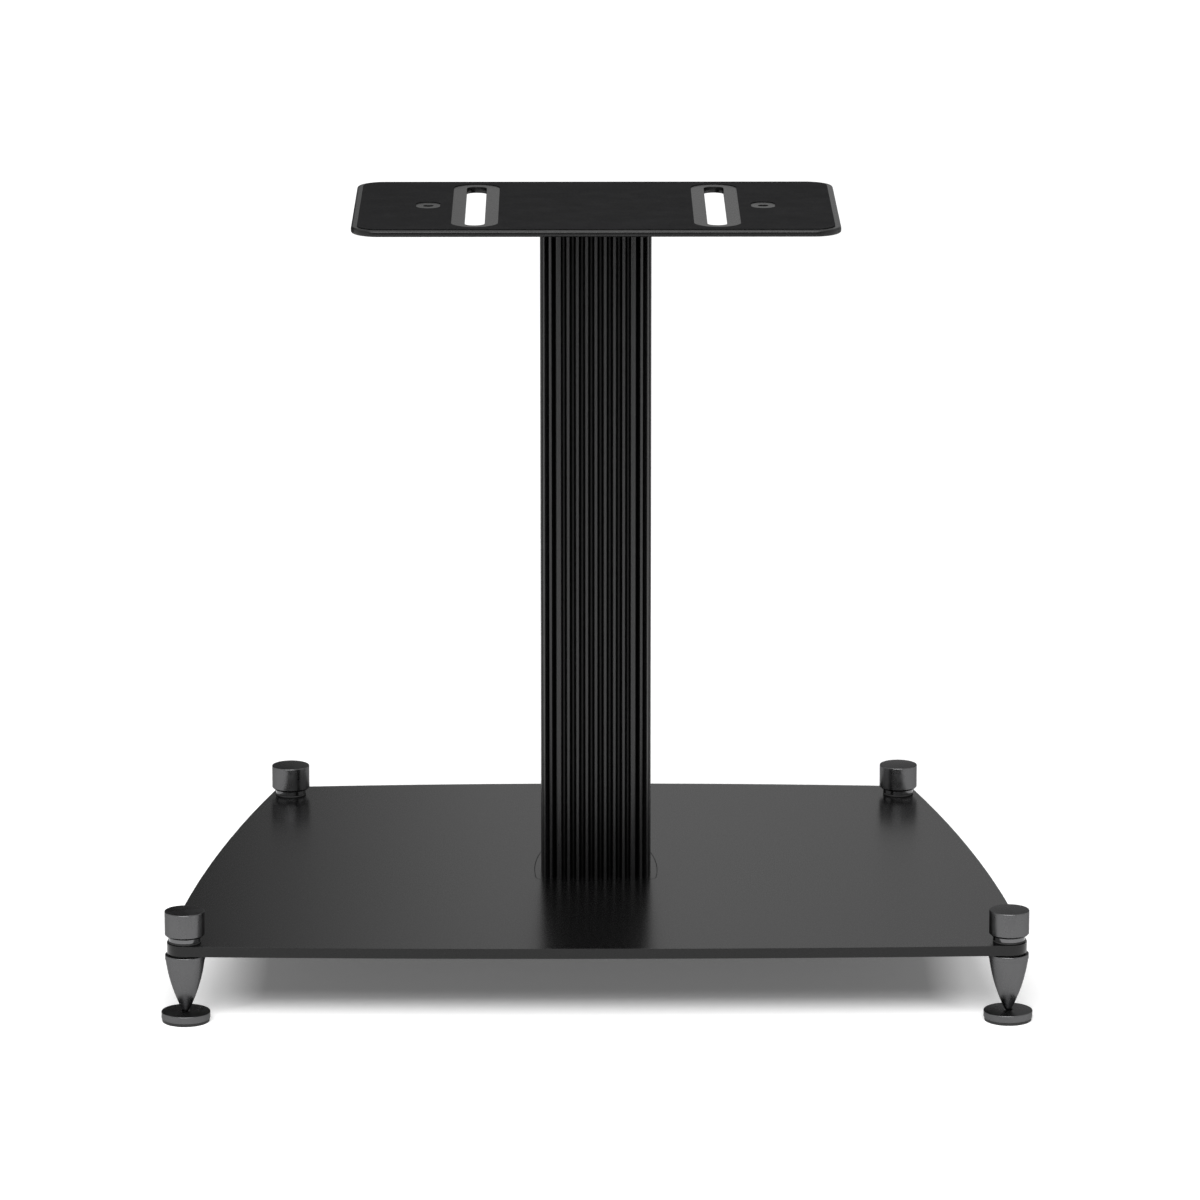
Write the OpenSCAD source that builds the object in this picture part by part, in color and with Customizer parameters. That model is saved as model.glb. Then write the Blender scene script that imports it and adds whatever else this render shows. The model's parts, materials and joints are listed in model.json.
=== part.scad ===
// Low speaker stand: a slotted top plate on a fluted column, on a bowed base plate with four levelling feet.
// Millimetres. The origin is on the floor under the middle of the column, +X to the right, +Y to the rear.

/* [Top plate] */
// Width of the top plate, left to right
top_w = 300; // [270:1:420]
// Depth of the top plate, front to back
top_d = 173; // [165:1:260]
// Thickness of the top plate
top_t = 4; // [2.5:0.1:6]
// Corner radius of the top plate
top_corner_r = 17; // [10:0.5:40]
// Width of the long slots
slot_w = 12.4; // [6:0.1:16]
// Distance from the ends of the long slots to the plate's front and rear edges
slot_margin = 19; // [14:0.5:40]
// Distance between the middles of the two long slots
slot_spacing = 149; // [140:1:160]
// Diameter of the two fixing holes
fixing_d = 6.5; // [4.5:0.1:10]
// Distance between the two fixing holes
fixing_spacing = 208; // [206:0.1:230]

/* [Top pad] */
// Thickness of the pad
pad_t = 0.5; // [0.3:0.1:3]
// Bare strip of plate left all round the pad
pad_inset = 3.7; // [2:0.1:6]
// Bare land of plate left round each long slot
slot_land = 8.2; // [4:0.1:9]
// Width of the pad's window over a fixing hole
window_w = 15; // [12:0.1:20]
// Length of the pad's window over a fixing hole, front to back
window_l = 23; // [20:0.1:30]

/* [Column] */
// Length of the column
col_h = 411.5; // [250:0.5:700]
// Width of the column's section at its front corners
col_front_w = 68.5; // [66:0.5:80]
// Width of the column's section at its rear corners
col_rear_w = 60; // [58:0.5:70]
// Depth of the column's section
col_d = 80; // [74:0.5:100]
// Radius of the section's corners, at the fin tips
col_corner_r = 12; // [11:0.5:14]
// Outward bow of the section's front and rear faces
col_face_bow = 0.8; // [0.3:0.1:2]
// Outward bow of the section's sides
col_side_bow = 1.9; // [0.5:0.1:4]
// Distance from fin to fin, made even all the way round
fin_pitch = 5.72; // [4.5:0.05:8]
// Thickness of a fin
fin_w = 1.9; // [1.2:0.1:2.6]
// Thickness of the fins where a corner starts and ends
corner_fin_w = 2.7; // [2:0.1:3.4]
// Height of a fin
fin_h = 5.5; // [2:0.1:6]
// Bevel on each side of a fin's tip
fin_bevel = 0.35; // [0.1:0.05:0.5]
// Wall of the column behind the grooves
col_wall = 2.8; // [2:0.1:3.5]
// Thickness of the web inside the column
web_t = 2.4; // [1.5:0.1:3.5]
// Outer diameter of the column's screw channels
channel_d = 11.6; // [10:0.1:13]
// Thickness of the solid block at the column's top
block_t = 8; // [8:0.5:16]
// Thickness of the seat plate under the column
seat_t = 3; // [2:0.1:4]
// How far the seat plate stands out past the column at each side, at its front corners
seat_side_front = 3.5; // [2:0.1:6]
// How far the seat plate stands out past the column at each side, at its rear corners
seat_side_rear = 2.8; // [2:0.1:6]
// How far the seat plate stands out past the column at front and rear
seat_end = 1; // [0.5:0.1:4]
// Outward bow of the seat plate's sides
seat_side_bow = 2.7; // [1:0.1:5]
// Radius of the seat plate's corners
seat_corner_r = 7; // [5:0.5:9]
// Gap between the seat plate and the edge of its pocket
seat_gap = 0.4; // [0.2:0.05:1]

/* [Base plate] */
// Width of the base plate at its front corners
base_front_w = 525; // [460:1:640]
// How much narrower the base plate is at its rear corners
base_taper = 103; // [60:1:140]
// Depth of the base plate, from front edge to rear edge
base_d = 389; // [330:1:460]
// Thickness of the base plate
base_t = 6.4; // [5.5:0.1:10]
// Radius of the base plate's corners
base_corner_r = 11; // [8:0.5:14]
// Outward bow of the front edge
base_front_bow = 5.2; // [2:0.1:15]
// Outward bow of the rear edge
base_rear_bow = 7.5; // [2:0.1:15]
// Outward bow of the side edges
base_side_bow = 7.5; // [2:0.1:15]
// How far the rear feet stand in front of the rear corners' middles
rear_foot_inset = 7.8; // [0:0.1:15]

/* [Feet] */
// Diameter of the lock caps
cap_d = 24.5; // [20:0.1:30]
// Height of the lock caps
cap_h = 15.8; // [15:0.1:22]
// Bevel round the bottom of a lock cap
cap_bevel = 1.2; // [0.4:0.1:1.5]
// Diameter of the collars under the lock caps
collar_d = 19.8; // [17:0.1:24]
// Height of the collars
collar_h = 3.1; // [2:0.1:5]
// Thickness of the dark washers above and below the base plate
washer_t = 1; // [0.5:0.1:2]
// Diameter of the studs, over the thread
stud_d = 8; // [6:0.1:10]
// Pitch of the studs' thread
thread_pitch = 1.25; // [0.75:0.25:1.5]
// Length of stud screwed into a cap, and into a spike
stud_grip = 12; // [8:0.5:13]
// Diameter of the spikes at their rim
spike_d = 24.5; // [20:0.1:30]
// Height of a spike from tip to shoulder
spike_h = 37.1; // [30:0.1:55]
// Height of the plain band round a spike's shoulder
spike_band_h = 3.6; // [2:0.1:6]
// Outward bow of a spike's side
spike_bow = 1.45; // [0.5:0.05:2.5]
// Radius of a spike's rounded tip
spike_tip_r = 2.2; // [1:0.1:2.4]
// Diameter of the floor discs
disc_d = 30; // [26:0.5:50]
// Thickness of the floor discs
disc_t = 4.5; // [3.5:0.1:8]
// Thickness of the soles under the floor discs
sole_t = 1.8; // [0.8:0.1:3]

/* [Screws] */
// Diameter of the screws, over the thread
screw_d = 6; // [5:0.5:6]
// Length of screw in the column's channels
screw_grip = 12; // [8:0.5:20]
// Diameter of the countersunk heads
sunk_head_d = 12; // [10:0.1:13]
// Diameter of the socket heads
socket_head_d = 10; // [8.5:0.1:11]
// Thickness of the plain washers under the socket heads
plain_washer_t = 1.6; // [1:0.1:2.5]

/* [Hidden] */
// Radial play of a thread or a shaft that turns in a bore
turn_play = 0.05;
// Radial play of a plain piece on a stud or a screw
slip_play = 0.25;
// How far a cut runs past the faces that it opens
overrun = 1;
// Small bevel on the edges of the turned pieces
edge_bevel = 0.5;
// How much smaller the sole is than its disc, on the radius
sole_inset = 0.5;
// Depth and mouth radius of the seat for a spike's tip, and the play under the tip
dimple_depth = 1;
dimple_r = 3;
tip_play = 0.1;
// Width and depth of the fine groove under a spike's band
band_groove_w = 0.5;
band_groove_depth = 0.3;
// Free space in a cap past the stud's end
cap_free = 1;
// How deep a fin is rooted in the column's wall
fin_root = 0.8;
// Round bottoms of the grooves: how far they run into the fins' sides, and their height over the wall
groove_overlap = 0.08;
groove_rise = 0.05;
// Depth of the studs' thread, as a share of its pitch
thread_depth_share = 0.61;
// Depth of the hex sockets, as a share of the screw's diameter, and their width across the corners
hex_depth_share = 0.45;
hex_width_share = 0.72;
// Plain washer's diameter as a share of the socket head's
plain_washer_share = 1.25;
// Bore of a dark washer and a collar
slip_r = stud_d/2 + slip_play;
// Number of straight pieces that stand for an outline's long bow and for a corner
bow_steps = 24;
corner_steps = 10;
// Angle of the tangent where a spike's tip meets its side
tip_angle = 27;
// Fineness of round pieces
$fn = 96;

slot_l = top_d - 2*slot_margin;
base_rear_w = base_front_w - base_taper;

// Heights of the faces above the floor
disc_z = sole_t;
disc_top_z = disc_z + disc_t;
tip_z = disc_top_z - dimple_depth + tip_play;
shoulder_z = tip_z + spike_h;
base_z = shoulder_z + washer_t;
base_top_z = base_z + base_t;
collar_z = base_top_z + washer_t;
cap_z = collar_z + collar_h;
block_z = base_top_z + col_h;
top_z = block_z + block_t;
pad_z = top_z + top_t;
pocket_z = base_top_z - seat_t;

// Outlines with bowed sides: [front corner x, front corner y, rear corner x, rear corner y, bows, corner radius]
base_front_y = -base_d/2 + base_corner_r + base_front_bow;
base_rear_y = base_d/2 - base_corner_r - base_rear_bow;
base_form = [base_front_w/2 - base_corner_r, base_front_y, base_rear_w/2 - base_corner_r, base_rear_y,
             [base_front_bow, base_side_bow, base_rear_bow], base_corner_r];
col_corner_y = col_d/2 - col_corner_r - col_face_bow;
col_form = [col_front_w/2 - col_corner_r, -col_corner_y, col_rear_w/2 - col_corner_r, col_corner_y,
            [col_face_bow, col_side_bow, col_face_bow], col_corner_r];
seat_corner_y = col_d/2 + seat_end - seat_corner_r - col_face_bow;
seat_form = [col_front_w/2 + seat_side_front - seat_corner_r, -seat_corner_y,
             col_rear_w/2 + seat_side_rear - seat_corner_r, seat_corner_y,
             [col_face_bow, seat_side_bow, col_face_bow], seat_corner_r];

// Places of the feet and of the column's screw channels
front_foot = [base_form[0], base_form[1]];
rear_foot = [base_form[2], base_form[3] - rear_foot_inset];
channels = corners(col_form);

// The four corner middles of a form, counter-clockwise from the front left one
function corners(form) = [[-form[0], form[1]], [form[0], form[1]], [form[2], form[3]], [-form[2], form[3]]];

// One side of a form as an arc: [middle, radius, first angle, last angle]
function side_arc(form, i) =
    let (ends = corners(form),
         bows = [form[4][0], form[4][1], form[4][2], form[4][1]],
         a = ends[i],
         b = ends[(i + 1)%4],
         chord = norm(b - a),
         out = [(b - a)[1], (a - b)[0]]/chord,
         r = (chord*chord/4 + bows[i]*bows[i])/(2*bows[i]),
         turn = asin(chord/2/r),
         facing = (atan2(out[1], out[0]) + 450)%360 - 90)
    [(a + b)/2 - out*(r - bows[i]), r + form[5], facing - turn, facing + turn];

// All eight arcs of a form, each side followed by its corner
function form_arcs(form) =
    let (ends = corners(form), sides = [for (i = [0:3]) side_arc(form, i)])
    [for (i = [0:3], k = [0, 1])
        k == 0 ? sides[i]
               : [ends[(i + 1)%4], form[5], sides[i][3], i == 3 ? sides[0][2] + 360 : sides[i + 1][2]]];

function on_arc(arc, angle) = arc[0] + arc[1]*[cos(angle), sin(angle)];
function arc_length(arc) = arc[1]*(arc[3] - arc[2])*PI/180;

// A form's points, with its outline moved in by inset
function form_points(form, inset = 0) =
    [for (arc = form_arcs([form[0], form[1], form[2], form[3], form[4], form[5] - inset]))
        let (steps = arc[1] > 2*form[5] ? bow_steps : corner_steps)
        for (k = [0:steps - 1]) on_arc(arc, arc[2] + (arc[3] - arc[2])*k/steps)];

// Point and outward angle at a distance along a form's arcs
function form_at(arcs, distance, i = 0) =
    distance <= arc_length(arcs[i]) || i == len(arcs) - 1
        ? let (angle = arcs[i][2] + distance/arcs[i][1]*180/PI) [on_arc(arcs[i], angle), angle]
        : form_at(arcs, distance - arc_length(arcs[i]), i + 1);

// Distance from a point on the outline to the nearest end of an arc
function to_arc_end(arcs, distance, i = 0) =
    distance <= arc_length(arcs[i]) || i == len(arcs) - 1
        ? min(distance, arc_length(arcs[i]) - distance)
        : to_arc_end(arcs, distance - arc_length(arcs[i]), i + 1);

function sum(list, i = 0) = i == len(list) ? 0 : list[i] + sum(list, i + 1);

// A slab with a form's outline, from z up
module form_slab(form, z, height, inset = 0) {
    translate([0, 0, z])
        linear_extrude(height)
            polygon(form_points(form, inset));
}

module rounded_slab(w, d, r, height) {
    linear_extrude(height)
        union() {
            square([w - 2*r, d], center = true);
            square([w, d - 2*r], center = true);
            for (x = [-1, 1], y = [-1, 1])
                translate([x*(w/2 - r), y*(d/2 - r)])
                    circle(r);
        }
}

// A slot with round ends that runs front to back
module slot(w, l, height) {
    linear_extrude(height)
        union() {
            square([w, l - w], center = true);
            for (y = [-1, 1])
                translate([0, y*(l - w)/2])
                    circle(w/2);
        }
}

// Cuts of one width and length at both sides of the plate
module slot_pair(spacing, w, l, z, height) {
    for (x = [-1, 1])
        translate([x*spacing/2, 0, z])
            slot(w, l, height);
}

module at_channels(z) {
    for (p = channels)
        translate([p[0], p[1], z])
            children();
}

// Countersunk head and shank, with play all round: the screw itself and the hole for it
module sunk_screw_form(play, grip) {
    sink_h = (sunk_head_d - screw_d)/2;
    rotate_extrude()
        polygon([[0, -grip], [screw_d/2 + play, -grip], [screw_d/2 + play, -sink_h],
                 [sunk_head_d/2 + play, 0], [0, 0]]);
}

module hex_socket(z) {
    translate([0, 0, z])
        cylinder(d = screw_d*hex_width_share, h = screw_d*hex_depth_share + overrun, $fn = 6);
}

module top_pad() {
    color("#1c1c1d")
        difference() {
            translate([0, 0, pad_z])
                rounded_slab(top_w - 2*pad_inset, top_d - 2*pad_inset, top_corner_r - pad_inset, pad_t);
            slot_pair(slot_spacing, slot_w + 2*slot_land, slot_l + 2*slot_land, pad_z - overrun,
                      pad_t + 2*overrun);
            slot_pair(fixing_spacing, window_w, window_l, pad_z - overrun, pad_t + 2*overrun);
        }
}

module top_plate() {
    color("#4a4a4c")
        difference() {
            translate([0, 0, top_z])
                rounded_slab(top_w, top_d, top_corner_r, top_t);
            slot_pair(slot_spacing, slot_w, slot_l, top_z - overrun, top_t + 2*overrun);
            for (x = [-1, 1])
                translate([x*fixing_spacing/2, 0, top_z - overrun])
                    cylinder(d = fixing_d, h = top_t + 2*overrun);
            at_channels(pad_z)
                sunk_screw_form(turn_play, top_t + block_t);
        }
}

module top_screws() {
    color("#5a5a5c")
        at_channels(pad_z)
            difference() {
                sunk_screw_form(0, top_t + block_t + screw_grip);
                hex_socket(-screw_d*hex_depth_share);
            }
}

module top_block() {
    color("#2b2b2d")
        difference() {
            form_slab(col_form, block_z, block_t);
            at_channels(pad_z)
                sunk_screw_form(turn_play, top_t + block_t + overrun);
        }
}

// The column's section: a wall behind the grooves, a fin at each pitch, a web across the middle and a screw
// channel in each corner
module column_section() {
    arcs = form_arcs(col_form);
    round_trip = sum([for (arc = arcs) arc_length(arc)]);
    fins = round(round_trip/fin_pitch);
    front_middle = arc_length(arcs[0])/2;
    difference() {
        union() {
            difference() {
                polygon(form_points(col_form, fin_h));
                polygon(form_points(col_form, fin_h + col_wall));
            }
            for (i = [0:fins - 1]) {
                way = (front_middle + i*round_trip/fins)%round_trip;
                spot = form_at(arcs, way);
                translate(spot[0])
                    rotate(spot[1])
                        fin(to_arc_end(arcs, way) < round_trip/fins/2 ? corner_fin_w : fin_w);
            }
            for (i = [0:fins - 1]) {
                spot = form_at(arcs, (front_middle + (i + 0.5)*round_trip/fins)%round_trip);
                translate(spot[0])
                    rotate(spot[1])
                        groove_bottom();
            }
            intersection() {
                polygon(form_points(col_form, fin_h));
                union() {
                    square([col_front_w, web_t], center = true);
                    for (p = channels)
                        translate(p)
                            circle(d = channel_d);
                }
            }
        }
        for (p = channels)
            translate(p)
                circle(screw_d/2 + turn_play);
    }
}

// One fin, pointing along +X, with its tip at the origin
module fin(w) {
    polygon([[-fin_h - fin_root, -w/2], [-fin_bevel, -w/2], [0, -w/2 + fin_bevel],
             [0, w/2 - fin_bevel], [-fin_bevel, w/2], [-fin_h - fin_root, w/2]]);
}

// Round bottom of a groove, in the middle between two fins, pointing along +X like them
module groove_bottom() {
    r = (fin_pitch - fin_w)/2 + groove_overlap;
    fill = min(groove_rise + r, fin_h - 2*fin_bevel);
    difference() {
        translate([-fin_h - fin_root, -r])
            square([fin_root + fill, 2*r]);
        translate([-fin_h + groove_rise + r, 0])
            circle(r);
    }
}

module column() {
    color("#141415")
        translate([0, 0, base_top_z])
            linear_extrude(col_h)
                column_section();
}

module seat_plate() {
    color("#343436")
        difference() {
            form_slab(seat_form, pocket_z, seat_t);
            at_channels(pocket_z - overrun)
                cylinder(r = screw_d/2 + slip_play, h = seat_t + 2*overrun);
        }
}

module at_feet(z) {
    for (x = [-1, 1], p = [front_foot, rear_foot])
        translate([x*p[0], p[1], z])
            children();
}

module base_plate() {
    color("#3c3c3e")
        difference() {
            form_slab(base_form, base_z, base_t);
            form_slab(seat_form, pocket_z, seat_t + overrun, -seat_gap);
            at_channels(base_z - overrun)
                cylinder(r = screw_d/2 + slip_play, h = base_t + 2*overrun);
            at_feet(base_z - overrun)
                cylinder(r = stud_d/2 + turn_play, h = base_t + 2*overrun);
        }
}

module base_screws() {
    color("#5a5a5c")
        at_channels(base_z - plain_washer_t)
            difference() {
                union() {
                    cylinder(d = screw_d, h = plain_washer_t + base_t + screw_grip);
                    translate([0, 0, -screw_d])
                        cylinder(d = socket_head_d, h = screw_d);
                }
                hex_socket(-screw_d - overrun);
            }
}

module base_screw_washers() {
    color("#6a6a6c")
        at_channels(base_z - plain_washer_t)
            difference() {
                cylinder(d = socket_head_d*plain_washer_share, h = plain_washer_t);
                translate([0, 0, -overrun])
                    cylinder(r = screw_d/2 + slip_play, h = plain_washer_t + 2*overrun);
            }
}

// A turned piece with bevelled edges, its bottom at z and its bore open to one or both ends
module turned(z, d, h, top_bevel, bottom_bevel, bore_r, bore_h) {
    translate([0, 0, z])
        difference() {
            rotate_extrude()
                polygon([[0, 0], [d/2 - bottom_bevel, 0], [d/2, bottom_bevel], [d/2, h - top_bevel],
                         [d/2 - top_bevel, h], [0, h]]);
            translate([0, 0, -overrun])
                cylinder(r = bore_r, h = bore_h + overrun);
        }
}

module lock_cap() {
    color("#6e6e71")
        turned(cap_z, cap_d, cap_h, edge_bevel, cap_bevel, stud_d/2 + turn_play, stud_grip + cap_free);
}

module collar() {
    color("#8a8a8d")
        turned(collar_z, collar_d, collar_h, edge_bevel, edge_bevel, slip_r, collar_h + overrun);
}

module dark_washer(z) {
    color("#101011")
        turned(z, collar_d, washer_t, washer_t/4, washer_t/4, slip_r, washer_t + overrun);
}

module stud() {
    length = cap_z - shoulder_z + 2*stud_grip;
    end = thread_pitch*thread_depth_share;
    color("#9a9a9c")
        translate([0, 0, shoulder_z - stud_grip])
            rotate_extrude()
                polygon([[0, 0], [stud_d/2 - end, 0], [stud_d/2, end], [stud_d/2, length - end],
                         [stud_d/2 - end, length], [0, length]]);
}

// A spike's side, from its tip up to its shoulder: a ball tip, a bowed side, a fine groove and a plain band
module spike() {
    rim = spike_d/2;
    neck = [rim - band_groove_depth, spike_h - spike_band_h];
    tip = [spike_tip_r*cos(tip_angle), spike_tip_r*(1 - sin(tip_angle))];
    chord = norm(neck - tip);
    along = (neck - tip)/chord;
    out = [along[1], -along[0]];
    r = (chord*chord/4 + spike_bow*spike_bow)/(2*spike_bow);
    middle = (neck + tip)/2 - out*(r - spike_bow);
    turn = asin(chord/2/r);
    facing = atan2(out[1], out[0]);
    ball = [for (k = [0:corner_steps - 1])
        let (angle = -90 + (90 - tip_angle)*k/corner_steps)
        [spike_tip_r*cos(angle), spike_tip_r*(1 + sin(angle))]];
    side = [for (k = [0:bow_steps]) on_arc([middle, r], facing - turn + 2*turn*k/bow_steps)];
    band = [[rim - band_groove_depth, spike_h - spike_band_h + band_groove_w],
            [rim, spike_h - spike_band_h + band_groove_w],
            [rim, spike_h - edge_bevel],
            [rim - edge_bevel, spike_h],
            [0, spike_h]];
    color("#77777a")
        translate([0, 0, tip_z])
            difference() {
                rotate_extrude()
                    polygon(concat(ball, side, band));
                translate([0, 0, spike_h - stud_grip])
                    cylinder(r = stud_d/2 + turn_play, h = stud_grip + overrun);
            }
}

module floor_disc() {
    color("#7d7d80")
        translate([0, 0, disc_z])
            rotate_extrude()
                polygon([[0, 0], [disc_d/2 - edge_bevel, 0], [disc_d/2, edge_bevel],
                         [disc_d/2, disc_t - edge_bevel], [disc_d/2 - edge_bevel, disc_t],
                         [dimple_r, disc_t], [dimple_r - dimple_depth, disc_t - dimple_depth],
                         [0, disc_t - dimple_depth]]);
}

module sole() {
    color("#0c0c0d")
        cylinder(r = disc_d/2 - sole_inset, h = sole_t);
}

// Puts a piece of a foot in its corner: side is -1 for left and 1 for right
module in_corner(side, place) {
    translate([side*place[0], place[1], 0])
        children();
}

top_pad();
top_plate();
top_screws();
top_block();
column();
seat_plate();
base_plate();
base_screws();
base_screw_washers();
in_corner(-1, front_foot) lock_cap();  // front_left_cap
in_corner(-1, front_foot) collar();  // front_left_collar
in_corner(-1, front_foot) dark_washer(base_top_z);  // front_left_upper_washer
in_corner(-1, front_foot) dark_washer(shoulder_z);  // front_left_lower_washer
in_corner(-1, front_foot) stud();  // front_left_stud
in_corner(-1, front_foot) spike();  // front_left_spike
in_corner(-1, front_foot) floor_disc();  // front_left_disc
in_corner(-1, front_foot) sole();  // front_left_sole
in_corner(1, front_foot) lock_cap();  // front_right_cap
in_corner(1, front_foot) collar();  // front_right_collar
in_corner(1, front_foot) dark_washer(base_top_z);  // front_right_upper_washer
in_corner(1, front_foot) dark_washer(shoulder_z);  // front_right_lower_washer
in_corner(1, front_foot) stud();  // front_right_stud
in_corner(1, front_foot) spike();  // front_right_spike
in_corner(1, front_foot) floor_disc();  // front_right_disc
in_corner(1, front_foot) sole();  // front_right_sole
in_corner(-1, rear_foot) lock_cap();  // rear_left_cap
in_corner(-1, rear_foot) collar();  // rear_left_collar
in_corner(-1, rear_foot) dark_washer(base_top_z);  // rear_left_upper_washer
in_corner(-1, rear_foot) dark_washer(shoulder_z);  // rear_left_lower_washer
in_corner(-1, rear_foot) stud();  // rear_left_stud
in_corner(-1, rear_foot) spike();  // rear_left_spike
in_corner(-1, rear_foot) floor_disc();  // rear_left_disc
in_corner(-1, rear_foot) sole();  // rear_left_sole
in_corner(1, rear_foot) lock_cap();  // rear_right_cap
in_corner(1, rear_foot) collar();  // rear_right_collar
in_corner(1, rear_foot) dark_washer(base_top_z);  // rear_right_upper_washer
in_corner(1, rear_foot) dark_washer(shoulder_z);  // rear_right_lower_washer
in_corner(1, rear_foot) stud();  // rear_right_stud
in_corner(1, rear_foot) spike();  // rear_right_spike
in_corner(1, rear_foot) floor_disc();  // rear_right_disc
in_corner(1, rear_foot) sole();  // rear_right_sole
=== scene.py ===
"""Looks of the speaker stand: finishes, softened edges, turned feet, a pale studio and the camera."""
import json
import math

import bmesh
import bpy
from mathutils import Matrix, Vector


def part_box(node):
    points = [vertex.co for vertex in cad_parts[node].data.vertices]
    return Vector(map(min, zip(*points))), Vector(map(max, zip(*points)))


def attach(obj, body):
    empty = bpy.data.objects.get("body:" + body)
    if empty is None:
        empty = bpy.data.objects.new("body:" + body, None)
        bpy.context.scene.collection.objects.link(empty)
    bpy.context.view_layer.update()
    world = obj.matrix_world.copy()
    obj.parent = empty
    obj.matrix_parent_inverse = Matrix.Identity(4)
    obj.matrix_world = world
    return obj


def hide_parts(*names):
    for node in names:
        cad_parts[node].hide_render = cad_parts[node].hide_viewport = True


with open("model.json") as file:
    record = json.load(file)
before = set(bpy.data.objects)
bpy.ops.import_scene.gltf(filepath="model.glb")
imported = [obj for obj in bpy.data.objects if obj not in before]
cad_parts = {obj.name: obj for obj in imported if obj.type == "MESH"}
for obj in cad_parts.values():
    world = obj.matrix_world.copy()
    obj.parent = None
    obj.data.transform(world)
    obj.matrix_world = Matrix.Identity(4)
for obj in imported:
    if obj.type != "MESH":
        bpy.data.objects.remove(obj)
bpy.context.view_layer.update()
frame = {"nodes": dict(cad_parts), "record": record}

MM = 0.001
CORNERS = ("front_left", "front_right", "rear_left", "rear_right")

# Camera, solved from the photograph: place and reach in metres, angles in degrees, lens and sensor in mm
CAMERA_PLACE = (-0.01912, -4.24089, 1.23728)
CAMERA_PITCH = 13.470
CAMERA_YAW = 0.295
CAMERA_LENS = 207.78
CAMERA_SENSOR = 36.0
CAMERA_REACH = 60.0

# Lamps: place, aim, size and power
KEY = ((-0.3, -2.6, 2.5), (0.0, 0.0, 0.0), (3.4, 2.0), 150.0)
TOP = ((0.2, 0.3, 2.8), (0.0, 0.0, 0.0), (2.0, 2.0), 15.0)
WORLD_LEVEL = 0.24

# Floor: half its size, its colour, and its glow at distances outside the base plate's footprint. The glow
# is low under the plate and rises outside it, a painted shadow added to the real one
FLOOR_HALF = 14.0
FLOOR_COLOUR = 0.86
FOOTPRINT_HALF = (0.268, 0.1945)
FLOOR_GLOW_WITH_PAINTED_SHADOW = ((-0.20, 0.115), (-0.06, 0.12), (-0.04, 0.33), (-0.02, 0.40),
              (0.1, 0.42), (1.0, 0.5), (3.0, 0.8))

# Grey cards behind and in front, seen only by reflections: y, half width, height, greys along x
CARDS = ((0.9, 1.7, 1.3, ((-0.36, 0.06), (-0.08, 0.46), (0.08, 0.50), (0.4, 0.42))),
         (-1.9, 1.7, 0.8, ((-1.0, 0.25), (1.0, 0.25))))

# Darker and lighter colour of each finish
COAT_BLACKS = ((0.0012, 0.0012, 0.0012), (0.0022, 0.0022, 0.0023))
COLUMN_BLACKS = ((0.0012, 0.0012, 0.0013), (0.0022, 0.0022, 0.0023))
BLOCK_BLACKS = ((0.005, 0.005, 0.005), (0.009, 0.009, 0.0095))
PAD_BLACKS = ((0.007, 0.007, 0.0074), (0.014, 0.014, 0.0144))
RUBBER_BLACKS = ((0.006, 0.006, 0.006), (0.014, 0.014, 0.014))
METAL_DARK_SHARE = 0.86

# Patterns of the finishes: noise scales, and depths of relief in metres
COAT_CLOUD_SCALE, COAT_GRAIN_SCALE, COAT_GRAIN_DEPTH = 9.0, 1900.0, 0.00001
PAD_GRAIN_SCALE, PAD_PATCH_SCALE, PAD_GRAIN_DEPTH = 1100.0, 60.0, 0.0001
METAL_RING_SCALE, METAL_SMUDGE_SCALE = 3200.0, 160.0
RUBBER_GRAIN_SCALE, RUBBER_GRAIN_DEPTH = 1500.0, 0.00004

# The span of a noise's values that is spread over a finish's range
NOISE_SPAN = (0.3, 0.7)
PAD_GRAIN_SPAN = (0.35, 0.65)

# Rounding of edges, in mm: along the outline, and round openings further in than RIM_SHARE of the half size
SOFT_EDGES = {"top_plate": (1.3, 0.35), "top_pad": (0.2, 0.2), "base_plate": (0.5, 0.5),
              "top_block": (0.3, 0.3)}
RIM_SHARE = 0.88
RIM_SEGMENTS, INNER_SEGMENTS = 6, 3
MERGE_BELOW = 0.002
FLAT_UP = 0.9999

# Angles between faces, in degrees: joined below, bevelled above, shaded smoothly below
JOIN_ANGLE, BEVEL_ANGLE, SOFT_ANGLE = 0.5, 50.0, 35.0

# The column's section, in mm, and the depths over which painted shade darkens its grooves: the near-black
# coat turns more metallic there, so it hardly shines
COLUMN_HALF_FRONT, COLUMN_HALF_REAR, COLUMN_HALF_DEPTH, COLUMN_CORNER_R = 34.25, 30.0, 40.0, 12.0
GROOVE_FROM, GROOVE_TO, GROOVE_SHADE_METALLIC = 2.0, 3.4, 0.65

# Turned pieces of a foot, in mm; their places and outer sizes are read from the CAD nodes
LATHE_SEGMENTS, LATHE_MERGE_BELOW, LATHE_ANGLE = 96, 0.0005, 28.0
STUD_BORE_R, SLIP_BORE_R, STUD_GRIP, CAP_BORE_H = 4.05, 4.25, 12.0, 13.0
CAP_TOP_ROUND, CAP_FOOT_BEVEL = 0.5, 1.2
COLLAR_BEVEL, WASHER_BEVEL = 0.4, 0.25
SPIKE_TIP_R, SPIKE_TIP_ANGLE, SPIKE_BOW, SPIKE_BAND_H = 2.2, 27.0, 1.45, 3.6
SPIKE_BALL_STEPS, SPIKE_SIDE_STEPS = 8, 24
BAND_GROOVE_W, BAND_GROOVE_DEPTH, BAND_BEVEL = 0.5, 0.3, 0.1
DIMPLE_R, DIMPLE_DEPTH = 3.0, 1.0
EDGE_ROUND = 0.5
SOLE_ROUND, SOLE_STEPS = 0.2, 3
THREAD_PITCH, THREAD_DEPTH, THREAD_ROWS, THREAD_SEGMENTS, THREAD_ANGLE = 1.25, 0.68, 6, 24, 50.0


def grey(level):
    """A neutral colour with full alpha."""
    return (level, level, level, 1.0)


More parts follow.
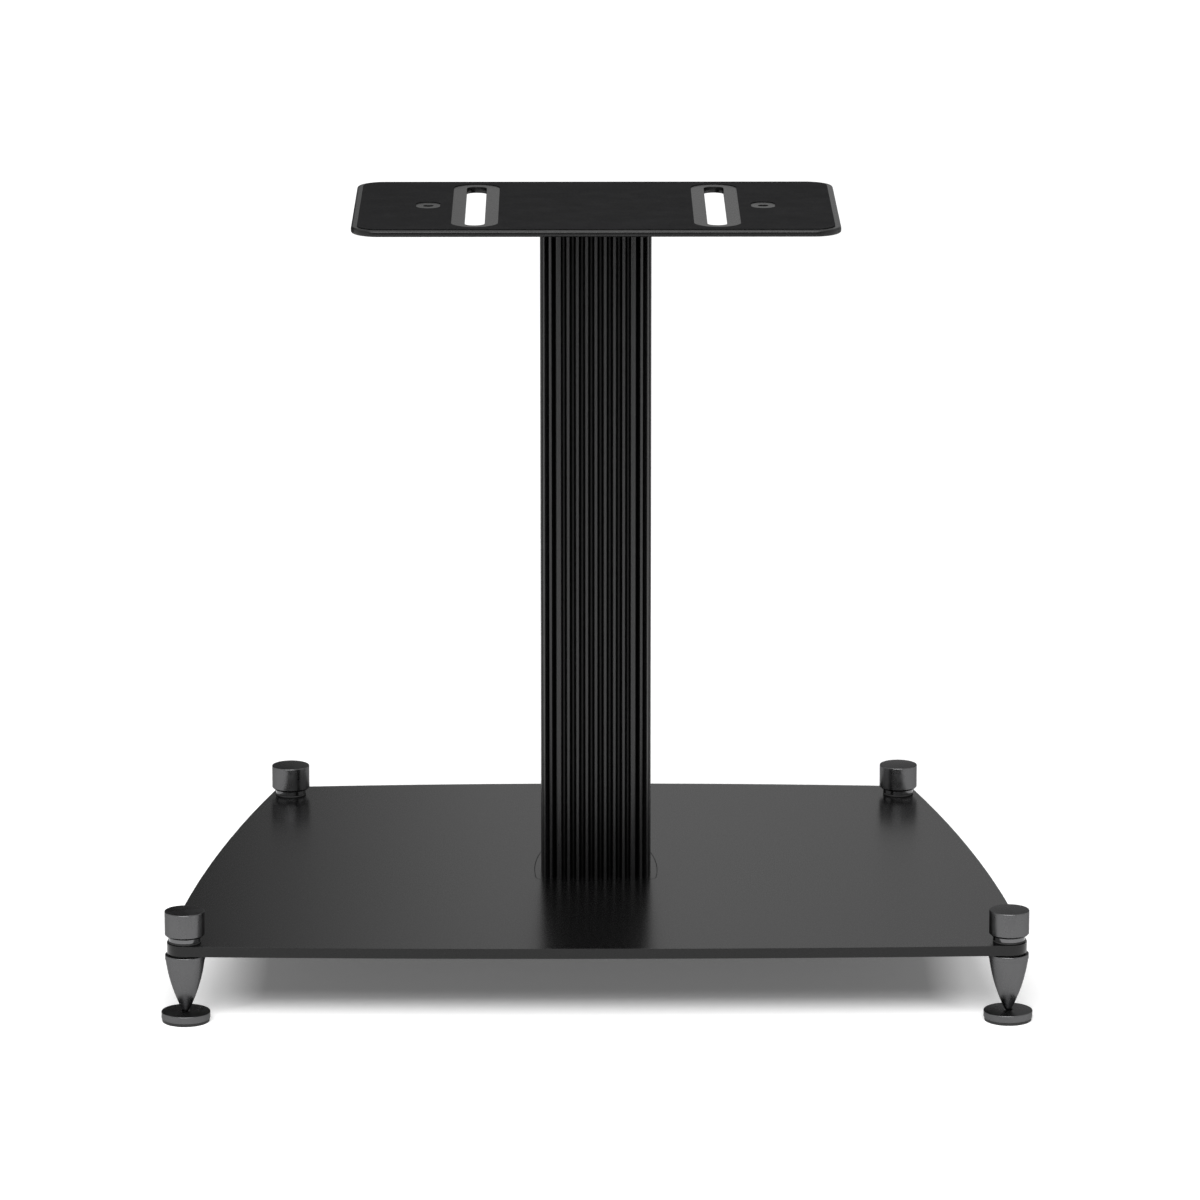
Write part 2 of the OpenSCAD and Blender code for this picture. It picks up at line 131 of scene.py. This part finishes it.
def new_material(name):
    """An empty node material with its Principled shader, as (material, nodes, link, shader)."""
    material = bpy.data.materials.new(name)
    material.use_nodes = True
    tree = material.node_tree
    return material, tree.nodes, tree.links.new, tree.nodes["Principled BSDF"]


def object_place(nodes):
    """The surface's place in its object's own axes, in metres."""
    return nodes.new("ShaderNodeTexCoord").outputs["Object"]


def noise(nodes, link, place, scale, detail=3.0, roughness=0.5):
    """A noise between 0 and 1, mostly near 0.5."""
    node = nodes.new("ShaderNodeTexNoise")
    node.inputs["Scale"].default_value = scale
    node.inputs["Detail"].default_value = detail
    node.inputs["Roughness"].default_value = roughness
    link(place, node.inputs["Vector"])
    return node.outputs["Fac"]


def remap(nodes, link, value, span, to_span):
    """Spreads the values of one span evenly over another, and holds them at its ends."""
    node = nodes.new("ShaderNodeMapRange")
    for socket, number in zip(("From Min", "From Max", "To Min", "To Max"), (*span, *to_span)):
        node.inputs[socket].default_value = number
    link(value, node.inputs["Value"])
    return node.outputs["Result"]


def calc(nodes, link, operation, *values):
    """A math node on sockets and plain numbers."""
    node = nodes.new("ShaderNodeMath")
    node.operation = operation
    for socket, value in zip(node.inputs, values):
        if isinstance(value, (int, float)):
            socket.default_value = value
        else:
            link(value, socket)
    return node.outputs["Value"]


def vector_calc(nodes, link, operation, vector, other=None):
    """The outputs of a vector math node on a socket and, where it takes one, a plain vector."""
    node = nodes.new("ShaderNodeVectorMath")
    node.operation = operation
    link(vector, node.inputs[0])
    if other is not None:
        node.inputs[1].default_value = other
    return node.outputs


def split(nodes, link, vector):
    """A vector's X, Y and Z, by name."""
    node = nodes.new("ShaderNodeSeparateXYZ")
    link(vector, node.inputs["Vector"])
    return node.outputs


def join(nodes, link, **axes):
    """A vector from some of its X, Y and Z, with zero for the rest."""
    node = nodes.new("ShaderNodeCombineXYZ")
    for axis, value in axes.items():
        link(value, node.inputs[axis])
    return node.outputs["Vector"]


def grey_ramp(nodes, link, value, stops):
    """Grey levels at given values, with straight lines between."""
    low, high = stops[0][0], stops[-1][0]
    ramp = nodes.new("ShaderNodeValToRGB")
    elements = ramp.color_ramp.elements
    while len(elements) < len(stops):
        elements.new(0.5)
    for element, (at, level) in zip(elements, stops):
        element.position = (at - low)/(high - low)
        element.color = grey(level)
    link(remap(nodes, link, value, (low, high), (0.0, 1.0)), ramp.inputs["Fac"])
    return ramp.outputs["Color"]


def blend_colours(nodes, link, fac, dark, light):
    """A colour between two others."""
    node = nodes.new("ShaderNodeMix")
    node.data_type = "RGBA"
    node.inputs["A"].default_value = (*dark, 1.0)
    node.inputs["B"].default_value = (*light, 1.0)
    link(fac, node.inputs["Factor"])
    return node.outputs["Result"]


def bump(nodes, link, height, distance, strength):
    """A normal that shows a relief of the given depth."""
    node = nodes.new("ShaderNodeBump")
    node.inputs["Distance"].default_value = distance
    node.inputs["Strength"].default_value = strength
    link(height, node.inputs["Height"])
    return node.outputs["Normal"]


def satin_coat(name, colours, rough, gloss=0.5, peel=0.25):
    """Smooth black coat: faint cloudiness, a fine orange peel and a little grain in its gloss."""
    material, nodes, link, shader = new_material(name)
    place = object_place(nodes)
    cloud = noise(nodes, link, place, COAT_CLOUD_SCALE)
    grain = noise(nodes, link, place, COAT_GRAIN_SCALE, detail=2.0)
    link(blend_colours(nodes, link, cloud, *colours), shader.inputs["Base Color"])
    link(remap(nodes, link, grain, NOISE_SPAN, rough), shader.inputs["Roughness"])
    link(bump(nodes, link, grain, COAT_GRAIN_DEPTH, peel), shader.inputs["Normal"])
    shader.inputs["Specular IOR Level"].default_value = gloss
    return material


def depth_in_column(nodes, link):
    """Depth below the column's fin tips. Its section is a tapered rectangle with round corners."""
    place = split(nodes, link, object_place(nodes))
    front, rear = COLUMN_HALF_FRONT*MM, COLUMN_HALF_REAR*MM
    half_y, corner_r = COLUMN_HALF_DEPTH*MM, COLUMN_CORNER_R*MM
    taper = calc(nodes, link, "MULTIPLY", place["Y"], (front - rear)/(2*half_y))
    across = calc(nodes, link, "ADD", calc(nodes, link, "ABSOLUTE", place["X"]), taper)
    across = calc(nodes, link, "SUBTRACT", across, (front + rear)/2 - corner_r)
    along = calc(nodes, link, "ABSOLUTE", place["Y"])
    along = calc(nodes, link, "SUBTRACT", along, half_y - corner_r)
    outward = join(nodes, link, X=calc(nodes, link, "MAXIMUM", across, 0.0),
                   Y=calc(nodes, link, "MAXIMUM", along, 0.0))
    reach = vector_calc(nodes, link, "LENGTH", outward)["Value"]
    return calc(nodes, link, "SUBTRACT", corner_r, reach)


def fluted_coat():
    """The column's black coat: satin on the fins, with painted shade in the grooves, where it turns
    metallic over its near-black colour and so hardly shines.
    """
    material = satin_coat("column_coat", COLUMN_BLACKS, (0.26, 0.34))
    nodes, link = material.node_tree.nodes, material.node_tree.links.new
    depth = depth_in_column(nodes, link)
    # Painted shade: the deeper in a groove, the more metallic the near-black coat, so the grooves look dark
    groove_shade = remap(nodes, link, depth, (GROOVE_FROM*MM, GROOVE_TO*MM), (0.0, GROOVE_SHADE_METALLIC))
    link(groove_shade, nodes["Principled BSDF"].inputs["Metallic"])
    return material


def pad_rubber():
    """Thin matt pad with a fine uneven grain."""
    material, nodes, link, shader = new_material("pad_rubber")
    place = object_place(nodes)
    grain = noise(nodes, link, place, PAD_GRAIN_SCALE, detail=4.0, roughness=0.65)
    patch = noise(nodes, link, place, PAD_PATCH_SCALE, detail=4.0)
    tone = remap(nodes, link, grain, PAD_GRAIN_SPAN, (0.0, 1.0))
    link(blend_colours(nodes, link, tone, *PAD_BLACKS), shader.inputs["Base Color"])
    link(remap(nodes, link, patch, NOISE_SPAN, (0.8, 0.95)), shader.inputs["Roughness"])
    link(bump(nodes, link, grain, PAD_GRAIN_DEPTH, 0.5), shader.inputs["Normal"])
    shader.inputs["Specular IOR Level"].default_value = 0.04
    return material


def turned_metal(name, colour, rough, line_depth, edge=1.0):
    """Dark plated metal from the lathe: fine rings round its own axis and a slightly uneven gloss."""
    material, nodes, link, shader = new_material(name)
    place = object_place(nodes)
    flat = vector_calc(nodes, link, "MULTIPLY", place, (1.0, 1.0, 0.0))["Vector"]
    radius = vector_calc(nodes, link, "LENGTH", flat)["Value"]
    turned = join(nodes, link, X=radius, Z=split(nodes, link, place)["Z"])
    rings = noise(nodes, link, turned, METAL_RING_SCALE, detail=2.0)
    smudge = noise(nodes, link, place, METAL_SMUDGE_SCALE)
    dark = tuple(METAL_DARK_SHARE * c for c in colour)
    link(blend_colours(nodes, link, smudge, dark, colour), shader.inputs["Base Color"])
    link(remap(nodes, link, smudge, NOISE_SPAN, rough), shader.inputs["Roughness"])
    link(bump(nodes, link, rings, line_depth, 0.5), shader.inputs["Normal"])
    shader.inputs["Metallic"].default_value = 1.0
    shader.inputs["Specular Tint"].default_value = grey(edge)
    return material


def dark_rubber(name):
    """Plain black rubber with a fine grain."""
    material, nodes, link, shader = new_material(name)
    grain = noise(nodes, link, object_place(nodes), RUBBER_GRAIN_SCALE)
    link(blend_colours(nodes, link, grain, *RUBBER_BLACKS), shader.inputs["Base Color"])
    link(remap(nodes, link, grain, NOISE_SPAN, (0.6, 0.8)), shader.inputs["Roughness"])
    link(bump(nodes, link, grain, RUBBER_GRAIN_DEPTH, 0.5), shader.inputs["Normal"])
    return material


def finishes():
    """The finish of each material slot."""
    return {
        "pad": pad_rubber(),
        "plate_steel": satin_coat("plate_coat", COAT_BLACKS, (0.24, 0.34), gloss=0.3),
        "base_black": satin_coat("base_coat", COAT_BLACKS, (0.2, 0.29), gloss=0.32),
        "column_black": fluted_coat(),
        "block_black": satin_coat("block_coat", BLOCK_BLACKS, (0.3, 0.42)),
        "foot_metal": turned_metal("foot_metal", (0.112, 0.112, 0.114), (0.24, 0.34), 0.000006,
                                   edge=0.55),
        "collar_metal": turned_metal("collar_metal", (0.14, 0.14, 0.143), (0.12, 0.2), 0.000003),
        "screw_steel": turned_metal("screw_steel", (0.45, 0.45, 0.46), (0.25, 0.4), 0.00001),
        "washer_black": dark_rubber("washer_black"),
        "sole_black": dark_rubber("sole_black"),
    }


def slots_of_nodes():
    """The material slot of each CAD node."""
    return {row["node"]: row["material_slot"] for row in frame["record"]["subparts"]}


def body_of_node(node):
    """Name of the body that a CAD node belongs to."""
    bodies = frame["record"]["behaviour"]["bodies"]
    return next(body for body, nodes in bodies.items() if node in nodes)


def dress(materials):
    """Gives every CAD node the finish of its material slot."""
    for node, slot in slots_of_nodes().items():
        mesh = frame["nodes"][node].data
        mesh.materials.clear()
        mesh.materials.append(materials[slot])


def stand_in(node, bm, name, materials, place=(0.0, 0.0, 0.0)):
    """Turns a bmesh into a piece that replaces a CAD node, on its body and in its slot."""
    mesh = bpy.data.meshes.new(name)
    bm.to_mesh(mesh)
    bm.free()
    piece = bpy.data.objects.new(name, mesh)
    piece.location = place
    bpy.context.collection.objects.link(piece)
    slot = slots_of_nodes()[node]
    mesh.materials.append(materials[slot])
    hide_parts(node)
    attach(piece, body_of_node(node))


def on_rim(edge, low, high):
    """True for an edge that lies along the outline of a plate's box."""
    middle, half = (low + high)/2, (high - low)/2
    return all(max(abs(v.co.x - middle.x)/half.x, abs(v.co.y - middle.y)/half.y) > RIM_SHARE
               for v in edge.verts)


def soften(node, radii, materials):
    """Copies a CAD node and rounds its sharp edges inwards, so that they catch the light."""
    bm = bmesh.new()
    bm.from_mesh(frame["nodes"][node].data)
    bmesh.ops.remove_doubles(bm, verts=bm.verts, dist=MERGE_BELOW*MM)
    bmesh.ops.dissolve_limit(bm, angle_limit=math.radians(JOIN_ANGLE), verts=bm.verts,
                             edges=bm.edges)
    low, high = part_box(node)
    bevel_above, smooth_under = math.radians(BEVEL_ANGLE), math.radians(SOFT_ANGLE)
    for rim, radius, segments in ((True, radii[0], RIM_SEGMENTS), (False, radii[1], INNER_SEGMENTS)):
        sharp = [e for e in bm.edges if len(e.link_faces) == 2
                 and e.calc_face_angle() > bevel_above and on_rim(e, low, high) == rim]
        bmesh.ops.bevel(bm, geom=sharp, offset=radius*MM, segments=segments, profile=0.5,
                        affect="EDGES", clamp_overlap=True)
    flat = {f for f in bm.faces if abs(f.normal.z) > FLAT_UP}
    for face in bm.faces:
        face.smooth = True
    for edge in bm.edges:
        sides = [face in flat for face in edge.link_faces]
        edge.smooth = (len(sides) == 2 and sides[0] == sides[1]
                       and edge.calc_face_angle() < smooth_under)
    stand_in(node, bm, node + "_soft", materials)


def arc(middle, radius, start, end, steps=5):
    """Points of a profile's arc, angles in degrees from the radius' direction."""
    turns = [math.radians(start + (end - start)*k/steps) for k in range(steps + 1)]
    return [(middle[0] + radius*math.cos(t), middle[1] + radius*math.sin(t)) for t in turns]


def bored(profile, bore_r, bore_from, bore_to):
    """Adds a bore, from one height to another, to the outside of a profile given from the bottom up."""
    if bore_from > profile[0][1]:
        return profile + [(bore_r, profile[-1][1]), (bore_r, bore_from), (0.0, bore_from)]
    if bore_to < profile[-1][1]:
        return [(0.0, bore_to), (bore_r, bore_to), (bore_r, profile[0][1])] + profile
    return [(bore_r, bore_from)] + profile + [(bore_r, bore_to), (bore_r, bore_from)]


def cap_profile(r, h):
    """A lock cap: bevelled foot, rounded rim, and a blind bore from below."""
    rounded = arc((r - CAP_TOP_ROUND, h - CAP_TOP_ROUND), CAP_TOP_ROUND, 0, 90)
    outside = [(r - CAP_FOOT_BEVEL, 0.0), (r, CAP_FOOT_BEVEL)] + rounded + [(0.0, h)]
    return bored(outside, STUD_BORE_R, 0.0, CAP_BORE_H)


def ring_profile(r, h, bevel):
    """A plain collar or washer with small bevels."""
    outside = [(r - bevel, 0.0), (r, bevel), (r, h - bevel), (r - bevel, h)]
    return bored(outside, SLIP_BORE_R, 0.0, h)


def spike_profile(r, h):
    """Ball tip, bowed side, fine groove and plain band."""
    ball = arc((0.0, SPIKE_TIP_R), SPIKE_TIP_R, -90, -SPIKE_TIP_ANGLE, SPIKE_BALL_STEPS)
    low, high = Vector(ball[-1]), Vector((r - BAND_GROOVE_DEPTH, h - SPIKE_BAND_H))
    half = (high - low).length/2
    bow_r = (half**2 + SPIKE_BOW**2)/(2*SPIKE_BOW)
    out = Vector((high.y - low.y, low.x - high.x)).normalized()
    middle = (low + high)/2 - out*(bow_r - SPIKE_BOW)
    facing, turn = math.degrees(math.atan2(out.y, out.x)), math.degrees(math.asin(half/bow_r))
    side = arc(middle, bow_r, facing - turn, facing + turn, SPIKE_SIDE_STEPS)
    band_z = h - SPIKE_BAND_H + BAND_GROOVE_W
    band = [(r - BAND_GROOVE_DEPTH, band_z), (r - BAND_BEVEL, band_z), (r, band_z + BAND_BEVEL)]
    shoulder = arc((r - EDGE_ROUND, h - EDGE_ROUND), EDGE_ROUND, 0, 90)
    return bored(ball + side[1:] + band + shoulder, STUD_BORE_R, h - STUD_GRIP, h)


def disc_profile(r, h):
    """A floor disc with rounded edges and a dimple for the spike's tip."""
    low = arc((r - EDGE_ROUND, EDGE_ROUND), EDGE_ROUND, -90, 0)
    high = arc((r - EDGE_ROUND, h - EDGE_ROUND), EDGE_ROUND, 0, 90)
    dimple = [(DIMPLE_R, h), (DIMPLE_R - DIMPLE_DEPTH, h - DIMPLE_DEPTH), (0.0, h - DIMPLE_DEPTH)]
    return [(0.0, 0.0)] + low + high + dimple


def sole_profile(r, h):
    """A thin sole, rounded below."""
    side = arc((r - SOLE_ROUND, SOLE_ROUND), SOLE_ROUND, -90, 0, SOLE_STEPS) + [(r, h)]
    return [(0.0, 0.0)] + side + [(0.0, h)]


def lathe(profile):
    """Turns a profile of (radius, height) points, in mm, round the Z axis."""
    bm = bmesh.new()
    rings = []
    for radius, height in profile:
        count = LATHE_SEGMENTS if radius > 0.0 else 1
        turns = [2*math.pi*k/count for k in range(count)]
        rings.append([bm.verts.new((radius*math.cos(t)*MM, radius*math.sin(t)*MM, height*MM))
                      for t in turns])
    for low, high in zip(rings, rings[1:]):
        for k in range(LATHE_SEGMENTS):
            corners = [low[k % len(low)], low[(k + 1) % len(low)],
                       high[(k + 1) % len(high)], high[k % len(high)]]
            bm.faces.new(list(dict.fromkeys(corners)))
    bmesh.ops.remove_doubles(bm, verts=bm.verts, dist=LATHE_MERGE_BELOW*MM)
    bmesh.ops.recalc_face_normals(bm, faces=bm.faces)
    smooth_below(bm, LATHE_ANGLE)
    return bm


def smooth_below(bm, degrees):
    """Smooth shading, with sharp edges where faces meet at a larger angle."""
    for face in bm.faces:
        face.smooth = True
    for edge in bm.edges:
        edge.smooth = len(edge.link_faces) == 2 and edge.calc_face_angle() < math.radians(degrees)


def thread(r, h):
    """A stud with a real helical thread and bevelled ends."""
    bm = bmesh.new()
    steps = int(h/THREAD_PITCH*THREAD_ROWS)
    rows = []
    for i in range(steps + 1):
        z = h*i/steps
        end = r - THREAD_DEPTH + min(z, h - z)
        row = []
        for k in range(THREAD_SEGMENTS):
            phase = (z/THREAD_PITCH - k/THREAD_SEGMENTS) % 1.0
            reach = min(r - THREAD_DEPTH*abs(2*phase - 1), end)
            turn = 2*math.pi*k/THREAD_SEGMENTS
            row.append(bm.verts.new((reach*math.cos(turn)*MM, reach*math.sin(turn)*MM, z*MM)))
        rows.append(row)
    for low, high in zip(rows, rows[1:]):
        for k in range(THREAD_SEGMENTS):
            n = (k + 1) % THREAD_SEGMENTS
            bm.faces.new((low[k], low[n], high[n], high[k]))
    bm.faces.new(rows[0][::-1])
    bm.faces.new(rows[-1])
    smooth_below(bm, THREAD_ANGLE)
    return bm


def turned_feet(materials):
    """Finer turned copies of each foot's pieces, each with its origin on its own axis."""
    shapes = {
        "cap": lambda r, h: lathe(cap_profile(r, h)),
        "collar": lambda r, h: lathe(ring_profile(r, h, COLLAR_BEVEL)),
        "upper_washer": lambda r, h: lathe(ring_profile(r, h, WASHER_BEVEL)),
        "lower_washer": lambda r, h: lathe(ring_profile(r, h, WASHER_BEVEL)),
        "stud": thread,
        "spike": lambda r, h: lathe(spike_profile(r, h)),
        "disc": lambda r, h: lathe(disc_profile(r, h)),
        "sole": lambda r, h: lathe(sole_profile(r, h)),
    }
    for corner in CORNERS:
        for kind, shape in shapes.items():
            node = corner + "_" + kind
            low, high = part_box(node)
            bm = shape((high.y - low.y)/2/MM, (high.z - low.z)/MM)
            place = ((low.x + high.x)/2, (low.y + high.y)/2, low.z)
            stand_in(node, bm, node + "_turned", materials, place)


def area_light(name, place, aim, size, power):
    """A soft box. The camera doesn't see it, so it never stands in the picture."""
    lamp = bpy.data.lights.new(name, "AREA")
    lamp.shape = "RECTANGLE"
    lamp.size, lamp.size_y = size
    lamp.energy = power
    holder = bpy.data.objects.new(name, lamp)
    holder.location = place
    holder.rotation_euler = (Vector(aim) - Vector(place)).to_track_quat("-Z", "Y").to_euler()
    holder.visible_camera = False
    bpy.context.collection.objects.link(holder)


def seen_directly(nodes, link):
    """1 for camera, glossy and transmission rays, 0 for all others."""
    path = nodes.new("ShaderNodeLightPath")
    seen = path.outputs["Is Camera Ray"]
    for kind in ("Is Glossy Ray", "Is Transmission Ray"):
        seen = calc(nodes, link, "MAXIMUM", seen, path.outputs[kind])
    return seen


def white_world():
    """Plain grey light from all round. Camera, glossy and transmission rays see it as white."""
    world = bpy.data.worlds.new("studio")
    bpy.context.scene.world = world
    world.use_nodes = True
    nodes, link = world.node_tree.nodes, world.node_tree.links.new
    level = remap(nodes, link, seen_directly(nodes, link), (0.0, 1.0), (WORLD_LEVEL, 1.0))
    link(level, nodes["Background"].inputs["Strength"])
    nodes["Background"].inputs["Color"].default_value = grey(1.0)


def stage_sheet(name, corners):
    """A flat sheet of the studio, not part of the object."""
    mesh = bpy.data.meshes.new(name)
    mesh.from_pydata(corners, [], [(0, 1, 2, 3)])
    sheet = bpy.data.objects.new(name, mesh)
    bpy.context.collection.objects.link(sheet)
    return sheet


def outside_footprint(nodes, link):
    """Distance outside the base plate's footprint, below zero under the plate."""
    across = vector_calc(nodes, link, "ABSOLUTE", object_place(nodes))["Vector"]
    beyond = vector_calc(nodes, link, "SUBTRACT", across, (*FOOTPRINT_HALF, 0.0))["Vector"]
    parts = split(nodes, link, beyond)
    return calc(nodes, link, "MAXIMUM", parts["X"], parts["Y"])


def pale_floor():
    """White floor that keeps the shadow. Seen directly or mirrored it also glows, and so runs out into
    white. The glow is weaker under and near the base plate: a painted shadow added to the real one. From
    below it is clear, so that the underside of the stand can be looked at."""
    h = FLOOR_HALF
    floor = stage_sheet("floor", [(-h, -h, 0), (h, -h, 0), (h, h, 0), (-h, h, 0)])
    material, nodes, link, shader = new_material("floor_white")
    shader.inputs["Base Color"].default_value = grey(FLOOR_COLOUR)
    shader.inputs["Roughness"].default_value = 1.0
    shader.inputs["Specular IOR Level"].default_value = 0.0
    shader.inputs["Emission Color"].default_value = grey(1.0)
    # Painted shadow: the glow is lowest under the base plate's footprint and rises outside it
    glow_with_painted_shadow = grey_ramp(nodes, link, outside_footprint(nodes, link), FLOOR_GLOW_WITH_PAINTED_SHADOW)
    strength = calc(nodes, link, "MULTIPLY", glow_with_painted_shadow, seen_directly(nodes, link))
    link(strength, shader.inputs["Emission Strength"])
    clear = nodes.new("ShaderNodeBsdfTransparent")
    either = nodes.new("ShaderNodeMixShader")
    below = nodes.new("ShaderNodeNewGeometry").outputs["Backfacing"]
    seen = nodes.new("ShaderNodeLightPath").outputs["Is Camera Ray"]
    link(calc(nodes, link, "MULTIPLY", below, seen), either.inputs["Fac"])
    link(shader.outputs["BSDF"], either.inputs[1])
    link(clear.outputs["BSDF"], either.inputs[2])
    link(either.outputs["Shader"], nodes["Material Output"].inputs["Surface"])
    floor.data.materials.append(material)


def grey_card(y, half_w, height, greys):
    """An upright card, seen only by reflections, like the dim surroundings of the photograph's studio."""
    card = stage_sheet("grey_card", [(-half_w, y, 0), (half_w, y, 0),
                                     (half_w, y, height), (-half_w, y, height)])
    card.visible_camera = False
    card.visible_shadow = False
    card.visible_diffuse = False
    material, nodes, link, shader = new_material("card_grey")
    shader.inputs["Base Color"].default_value = grey(0.0)
    shader.inputs["Specular IOR Level"].default_value = 0.0
    shader.inputs["Emission Strength"].default_value = 1.0
    across = split(nodes, link, object_place(nodes))["X"]
    link(grey_ramp(nodes, link, across, greys), shader.inputs["Emission Color"])
    card.data.materials.append(material)


def studio():
    """World, floor, cards, lamps and the plain view transform."""
    white_world()
    pale_floor()
    for card in CARDS:
        grey_card(*card)
    area_light("key_light", *KEY)
    area_light("top_light", *TOP)
    bpy.context.scene.view_settings.view_transform = "Standard"


def photo_camera():
    """The camera from which the photograph was taken."""
    camera = bpy.data.cameras.new("camera")
    camera.lens = CAMERA_LENS
    camera.sensor_width = CAMERA_SENSOR
    camera.clip_end = CAMERA_REACH
    holder = bpy.data.objects.new("camera", camera)
    holder.location = CAMERA_PLACE
    holder.rotation_euler = (math.radians(90.0 - CAMERA_PITCH), 0.0, math.radians(-CAMERA_YAW))
    bpy.context.collection.objects.link(holder)
    bpy.context.scene.camera = holder


photo_camera()
studio()
finish = finishes()
dress(finish)
for soft_node, soft_radii in SOFT_EDGES.items():
    soften(soft_node, soft_radii, finish)
turned_feet(finish)
